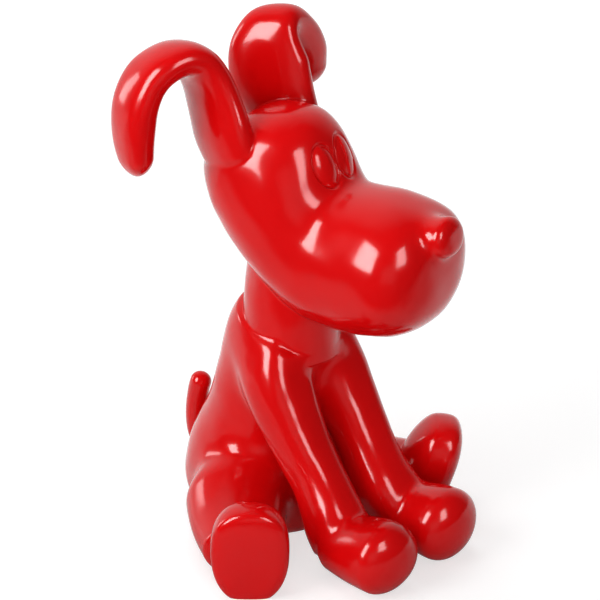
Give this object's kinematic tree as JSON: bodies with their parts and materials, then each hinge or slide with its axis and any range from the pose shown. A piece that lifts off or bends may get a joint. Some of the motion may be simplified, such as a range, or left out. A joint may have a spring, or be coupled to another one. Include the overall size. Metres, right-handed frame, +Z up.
{
  "type": "seated dog sculpture",
  "caption": "Seated cartoon dog sculpture in gloss red lacquered resin, with a long blunt muzzle, arched ears, splayed hind legs and a felt pad under its base.",
  "frame": {"origin": "on the ground, on the underside of the felt pad below the rump", "axes": "+Z up, -Y the way the dog faces, -X the dog's right side"},
  "size_m": [0.2763, 0.2771, 0.4259],
  "materials": {
    "red_lacquer": "deep red gloss lacquer over cast resin",
    "steel": "plain bar, as drawn",
    "plywood": "bare birch plywood",
    "felt": "dark red self-adhesive felt",
    "cement": "plain cast weight"
  },
  "bodies": {
    "root": {"base_plate": "plywood", "base_screw_1": "steel", "base_screw_2": "steel", "base_screw_3": "steel", "base_screw_4": "steel", "base_weight": "cement", "body_shell": "red_lacquer", "felt_pad": "felt", "head_shell": "red_lacquer", "left_ankle_pin": "steel", "left_ear": "red_lacquer", "left_ear_pin": "steel", "left_eye": "red_lacquer", "left_front_leg": "red_lacquer", "left_front_paw": "red_lacquer", "left_haunch": "red_lacquer", "left_hind_foot": "red_lacquer", "left_hip_pin": "steel", "left_shoulder_pin": "steel", "left_wrist_pin": "steel", "nose": "red_lacquer", "right_ankle_pin": "steel", "right_ear": "red_lacquer", "right_ear_pin": "steel", "right_eye": "red_lacquer", "right_front_leg": "red_lacquer", "right_front_paw": "red_lacquer", "right_haunch": "red_lacquer", "right_hind_foot": "red_lacquer", "right_hip_pin": "steel", "right_shoulder_pin": "steel", "right_wrist_pin": "steel", "tail": "red_lacquer", "tail_pin": "steel"}
  },
  "joints": []
}
